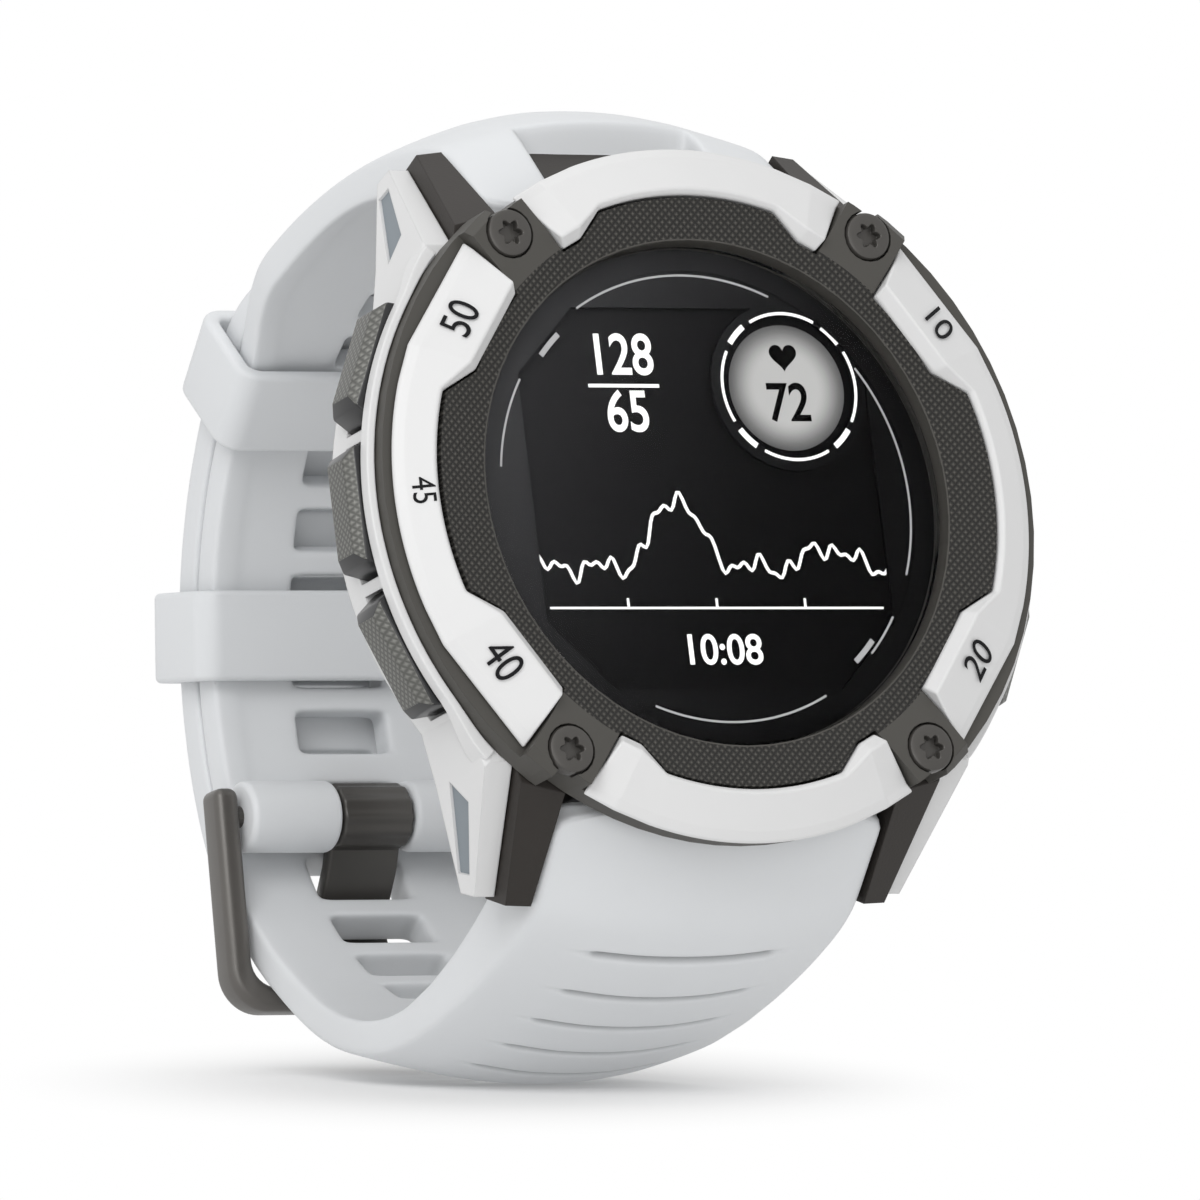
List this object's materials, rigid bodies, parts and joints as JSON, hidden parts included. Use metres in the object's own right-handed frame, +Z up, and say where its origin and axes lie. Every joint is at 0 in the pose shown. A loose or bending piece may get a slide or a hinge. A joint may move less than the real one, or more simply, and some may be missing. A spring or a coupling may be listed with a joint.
{
  "type": "golf gps watch",
  "caption": "Rugged golf GPS watch with a screwed white bezel, dished lens ring, side buttons, torch and a closed slotted silicone strap with buckle and sliding keepers.",
  "frame": {"origin": "centre of the bounding box on the ground plane, watch standing on its closed strap", "axes": "+Z up; +X toward three o'clock; the dial faces -Y and leans back 15.5 degrees from upright"},
  "size_m": [0.053, 0.0724, 0.069],
  "materials": {
    "white_polymer": "satin white fibre-filled polymer",
    "dark_polymer": "matt dark grey fibre-filled polymer",
    "button_metal": "dark grey coated metal with a diagonal hatch",
    "dark_steel": "dark coated steel",
    "pale_silicone": "soft pale grey silicone",
    "black_rubber": "matt black rubber",
    "lens_glass": "dark tinted hardened glass",
    "display_glass": "dark monochrome display",
    "circuit_board": "green board with solder mask",
    "cell_can": "plain metal can",
    "torch_clear": "clear moulded window"
  },
  "bodies": {
    "watch": {"back_cover": "dark_polymer", "back_gasket": "black_rubber", "back_screw_lower_left": "dark_steel", "back_screw_lower_right": "dark_steel", "back_screw_upper_left": "dark_steel", "back_screw_upper_right": "dark_steel", "battery": "cell_can", "bezel_cap_bottom": "white_polymer", "bezel_cap_left": "white_polymer", "bezel_cap_right": "white_polymer", "bezel_cap_top": "white_polymer", "bezel_ring": "dark_polymer", "bezel_screw_lower_left": "dark_steel", "bezel_screw_lower_right": "dark_steel", "bezel_screw_upper_left": "dark_steel", "bezel_screw_upper_right": "dark_steel", "buckle_bar": "dark_steel", "button_seal_left_lower": "black_rubber", "button_seal_left_middle": "black_rubber", "button_seal_left_upper": "black_rubber", "button_seal_right_lower": "black_rubber", "button_seal_right_upper": "black_rubber", "charging_port": "black_rubber", "dial_mask": "black_rubber", "display_panel": "display_glass", "gnss_antenna": "cell_can", "lens": "lens_glass", "lens_gasket": "black_rubber", "lug_bar_bottom": "dark_steel", "lug_bar_top": "dark_steel", "main_board": "circuit_board", "middle_case": "dark_polymer", "sensor_board": "circuit_board", "sensor_window": "lens_glass", "side_guard_left": "white_polymer", "side_guard_right": "white_polymer", "strap_lower": "pale_silicone", "strap_upper": "pale_silicone", "switch_left_lower": "black_rubber", "switch_left_middle": "black_rubber", "switch_left_upper": "black_rubber", "switch_right_lower": "black_rubber", "switch_right_upper": "black_rubber", "torch_led": "torch_clear", "torch_window": "torch_clear", "vibration_motor": "cell_can"},
    "button_left_upper": {"button_left_upper": "button_metal"},
    "button_left_middle": {"button_left_middle": "button_metal"},
    "button_left_lower": {"button_left_lower": "button_metal"},
    "button_right_upper": {"button_right_upper": "button_metal"},
    "button_right_lower": {"button_right_lower": "button_metal"},
    "keeper_upper": {"keeper_upper": "pale_silicone"},
    "keeper_lower": {"keeper_lower": "pale_silicone"},
    "buckle_frame": {"buckle_frame": "dark_steel"},
    "buckle_tongue": {"buckle_tongue": "dark_steel"},
    "strap_latch_top": {"strap_latch_top": "dark_steel"},
    "strap_latch_bottom": {"strap_latch_bottom": "dark_steel"}
  },
  "joints": [
    {"name": "button_left_upper_press", "type": "slide", "parent": "watch", "child": "button_left_upper", "axis": [0.9135, -0.1087, -0.3919], "range_m": [0, 0.0007], "stiffness_N_per_m": 1500, "springref_m": -0.0004},
    {"name": "button_left_middle_press", "type": "slide", "parent": "watch", "child": "button_left_middle", "axis": [1, 0, 0], "range_m": [0, 0.0007], "stiffness_N_per_m": 1500, "springref_m": -0.0004},
    {"name": "button_left_lower_press", "type": "slide", "parent": "watch", "child": "button_left_lower", "axis": [0.9135, 0.1087, 0.3919], "range_m": [0, 0.0007], "stiffness_N_per_m": 1500, "springref_m": -0.0004},
    {"name": "button_right_upper_press", "type": "slide", "parent": "watch", "child": "button_right_upper", "axis": [-0.9135, -0.1087, -0.3919], "range_m": [0, 0.0007], "stiffness_N_per_m": 1500, "springref_m": -0.0004},
    {"name": "button_right_lower_press", "type": "slide", "parent": "watch", "child": "button_right_lower", "axis": [-0.9135, 0.1087, 0.3919], "range_m": [0, 0.0007], "stiffness_N_per_m": 1500, "springref_m": -0.0004},
    {"name": "keeper_upper_slide", "type": "hinge", "parent": "watch", "child": "keeper_upper", "pos_m": [0.00049, 0.00076, 0.03256], "axis": [1, 0, 0], "range_deg": [-14, 1.5]},
    {"name": "keeper_lower_slide", "type": "hinge", "parent": "watch", "child": "keeper_lower", "pos_m": [0.00049, 0.00076, 0.03256], "axis": [1, 0, 0], "range_deg": [-12, 10]},
    {"name": "buckle_frame_swing", "type": "hinge", "parent": "watch", "child": "buckle_frame", "pos_m": [0.00049, 0.02413, 0.01825], "axis": [1, 0, 0], "range_deg": [0, 12]},
    {"name": "buckle_tongue_swing", "type": "hinge", "parent": "watch", "child": "buckle_tongue", "pos_m": [0.00049, 0.02413, 0.01825], "axis": [1, 0, 0], "range_deg": [0, 12]},
    {"name": "strap_latch_top_slide", "type": "slide", "parent": "watch", "child": "strap_latch_top", "axis": [0, 0.9081, 0.4188], "range_m": [0, 0.0012], "stiffness_N_per_m": 500, "springref_m": -0.0003},
    {"name": "strap_latch_bottom_slide", "type": "slide", "parent": "watch", "child": "strap_latch_bottom", "axis": [0, 0.6443, -0.7648], "range_m": [0, 0.0012], "stiffness_N_per_m": 500, "springref_m": -0.0003}
  ],
  "couplings": [
    {"joint": "buckle_tongue_swing", "follows": "buckle_frame_swing", "ratio": 1}
  ]
}
